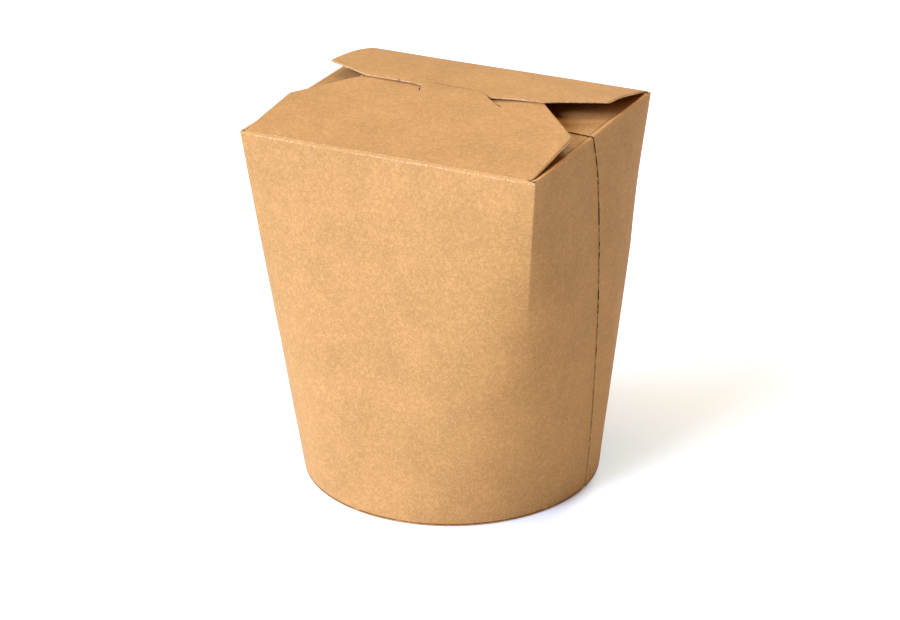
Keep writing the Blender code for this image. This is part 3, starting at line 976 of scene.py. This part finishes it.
def make_kraft_card():
    """Smooth brown kraft card: clouded and mottled, pale where its folds have broken the fibres, with
    painted highlight along its folds and painted shade in its seam, slits, scored lines and over its foot.
    """
    material, tree, shader = new_material("kraft_card")
    pulp, place = pulp_in(tree)
    wear_and_light = attribute(tree, "fold_wear_and_light")
    past_fold = attribute(tree, "fold_distance")
    past_crease = attribute(tree, "crease_distance")
    fold = group_in(tree, fold_wear_and_light_group, {"Place": place, "Distance": past_fold, "Row": FOLD_FLECKS})
    crease = group_in(tree, fold_wear_and_light_group, {"Place": place, "Distance": past_crease, "Row": CREASE_FLECKS})
    paleness = larger(tree, times(tree, fold["Flecks"], wear_and_light), times(tree, crease["Flecks"], CREASE_WEAR))
    colour = pulp_colour(tree, pulp, KRAFT, 1.0)
    # painted highlight and rubbing: a paler band along each top fold
    colour = mixed(tree, times(tree, fold["RubbedAndHighlight"], 0.30), colour, scaled(KRAFT, 1.35))
    # painted shade: each flap's scored line darkened, less where the fold's wear and highlight strength is
    # higher
    scored = times(tree, faded(tree, away_from(tree, past_fold, SCORE_LINE), 0.00030, 0.00010), 0.75)
    scored = times(tree, scored, calculate(tree, "SUBTRACT", 1.0, wear_and_light))
    colour = mixed(tree, scored, colour, scaled(KRAFT, 0.30))
    # pale flecks of broken fibre along folds and creases, partly painted highlight at the top folds
    colour = mixed(tree, times(tree, paleness, 0.8), colour, PALE_FIBRE_AND_HIGHLIGHT)
    # painted shade in the gap of the glued seam and along the tongue's slits
    seam = faded(tree, attribute(tree, "seam_shade_mask"), 0.62, 0.84)
    slit = faded(tree, attribute(tree, "slit_shade_mask"), 0.72, 0.92, 0.0, 0.8)
    given = {"Place": place, "Seam": seam, "Slit": slit, "Least": 0.10, "Most": 0.9}
    colour = mixed(tree, group_in(tree, gap_shade_group, given)["Shade"], colour, PAINTED_SHADE_COLOUR)
    # painted shade in the pressed line over the foot
    colour = shaded_foot_line(tree, place, colour)
    roughness = larger(tree, faded(tree, pulp["Mottle"], 0.0, 1.0, 0.68, 0.82), paleness)
    relief = calculate(tree, "ADD", times(tree, pulp["Mottle"], 0.6), pulp["Fibres"])
    relief = calculate(tree, "ADD", relief, times(tree, paleness, 2.0))
    finish_card(tree, shader, colour, roughness, relief, 0.5, 0.00007)
    return material


def make_cut_edge():
    """The card's cut edge: paler and more open pulp, with painted shade inside the seam and the slits."""
    material, tree, shader = new_material("kraft_cut_edge")
    pulp, place = pulp_in(tree)
    torn = faded(tree, speckle(tree, place, 900, 2.0, 0.6), 0.52, 0.66, 0.0, 0.5)
    colour = mixed(tree, torn, pulp_colour(tree, pulp, CUT_PULP, 1.6), PALE_FIBRE_AND_HIGHLIGHT)
    # painted shade on the cut edges inside the seam and the slits
    seam, slit = attribute(tree, "seam_shade_mask"), times(tree, attribute(tree, "slit_shade_mask"), 0.8)
    given = {"Place": place, "Seam": seam, "Slit": slit, "Least": 0.30, "Most": 1.0}
    colour = mixed(tree, group_in(tree, gap_shade_group, given)["Shade"], colour, PAINTED_SHADE_COLOUR)
    finish_card(tree, shader, colour, 0.92, pulp["Mottle"], 0.6, 0.00008)
    return material


def make_base_card():
    """The base's card: the same kraft, plainer, with flecks of broken fibre where its rim is turned."""
    material, tree, shader = new_material("base_card")
    pulp, place = pulp_in(tree)
    axes = add_node(tree, "SeparateXYZ", {"Vector": place}).outputs
    x_squared = calculate(tree, "POWER", axes["X"], 2.0)
    y_squared = calculate(tree, "POWER", axes["Y"], 2.0)
    radius = calculate(tree, "POWER", calculate(tree, "ADD", x_squared, y_squared), 0.5)
    past_ring = calculate(tree, "SUBTRACT", radius, WORN_RING)
    ring = group_in(tree, fold_wear_and_light_group, {"Place": place, "Distance": past_ring, "Row": FOLD_FLECKS})
    colour = pulp_colour(tree, pulp, scaled(KRAFT, 0.96), 1.1)
    colour = mixed(tree, times(tree, ring["Flecks"], 0.6), colour, PALE_FIBRE_AND_HIGHLIGHT)
    roughness = faded(tree, pulp["Mottle"], 0.0, 1.0, 0.66, 0.80)
    finish_card(tree, shader, colour, roughness, pulp["Mottle"], 0.4, 0.00006)
    return material


def make_floor():
    """A plain white studio floor, faintly lit from within as a light table is."""
    material, tree, shader = new_material("studio_floor")
    place = tree.nodes.new("ShaderNodeTexCoord").outputs["Object"]
    colour = mixed(tree, speckle(tree, place, 3.0), scaled(FLOOR_WHITE, 0.995), FLOOR_WHITE)
    tree.links.new(colour, shader.inputs["Base Color"])
    shader.inputs["Roughness"].default_value = 0.9
    shader.inputs["Specular IOR Level"].default_value = 0.1
    shader.inputs["Emission Color"].default_value = FLOOR_GLOW
    shader.inputs["Emission Strength"].default_value = FLOOR_GLOW_STRENGTH
    return material


# --- The studio -----------------------------------------------------------------------------------


def add_lamp(name, direction, strength, colour, spread):
    """A far softbox, that many degrees across, whose light comes from that direction."""
    light = bpy.data.lights.new(name, "SUN")
    light.energy = strength
    light.color = colour
    light.angle = math.radians(spread)
    lamp = bpy.data.objects.new(name, light)
    bpy.context.scene.collection.objects.link(lamp)
    lamp.rotation_euler = Vector(direction).to_track_quat("Z", "Y").to_euler()


def build_studio(floor_material):
    """The floor, a dim white surround and the lamps."""
    shape = bmesh.new()
    bmesh.ops.create_grid(shape, x_segments=1, y_segments=1, size=FLOOR_REACH)
    floor = finished("floor", shape, [floor_material])
    world = bpy.data.worlds.new("studio")
    world.use_nodes = True
    background = world.node_tree.nodes["Background"]
    background.inputs["Color"].default_value = (1, 1, 1, 1)
    background.inputs["Strength"].default_value = 0.01
    bpy.context.scene.world = world
    for lamp in LAMPS:
        add_lamp(*lamp)


def place_camera():
    """The camera looks down on the front right corner of the box, from most of a metre away."""
    side, out = math.sin(CAMERA_TURN), math.cos(CAMERA_TURN)
    level, high = math.cos(CAMERA_HEIGHT), math.sin(CAMERA_HEIGHT)
    back = Vector((side * level, -out * level, high))
    level_right = Vector((out, side, 0))
    level_up = back.cross(level_right)
    right = level_right * math.cos(CAMERA_ROLL) + level_up * math.sin(CAMERA_ROLL)
    camera = bpy.data.cameras.new("camera")
    camera.sensor_width = 36
    camera.lens = CAMERA_LENS
    camera.shift_x, camera.shift_y = CAMERA_SHIFT
    camera.clip_start = 0.01
    holder = bpy.data.objects.new("camera", camera)
    bpy.context.scene.collection.objects.link(holder)
    place = Matrix((right, back.cross(right), back)).transposed().to_4x4()
    place.translation = Vector((0, 0, FOLD_HEIGHT / 2)) + back * CAMERA_DISTANCE
    holder.matrix_world = place
    bpy.context.scene.camera = holder


card_pulp_group = make_card_pulp()
fold_wear_and_light_group = make_fold_wear_and_light()
gap_shade_group = make_gap_shade()
kraft_card = make_kraft_card()
cut_edge_card = make_cut_edge()
build_carton(kraft_card, cut_edge_card)
build_base(make_base_card(), cut_edge_card)
build_studio(make_floor())
place_camera()
bpy.context.scene.view_settings.view_transform = "Standard"
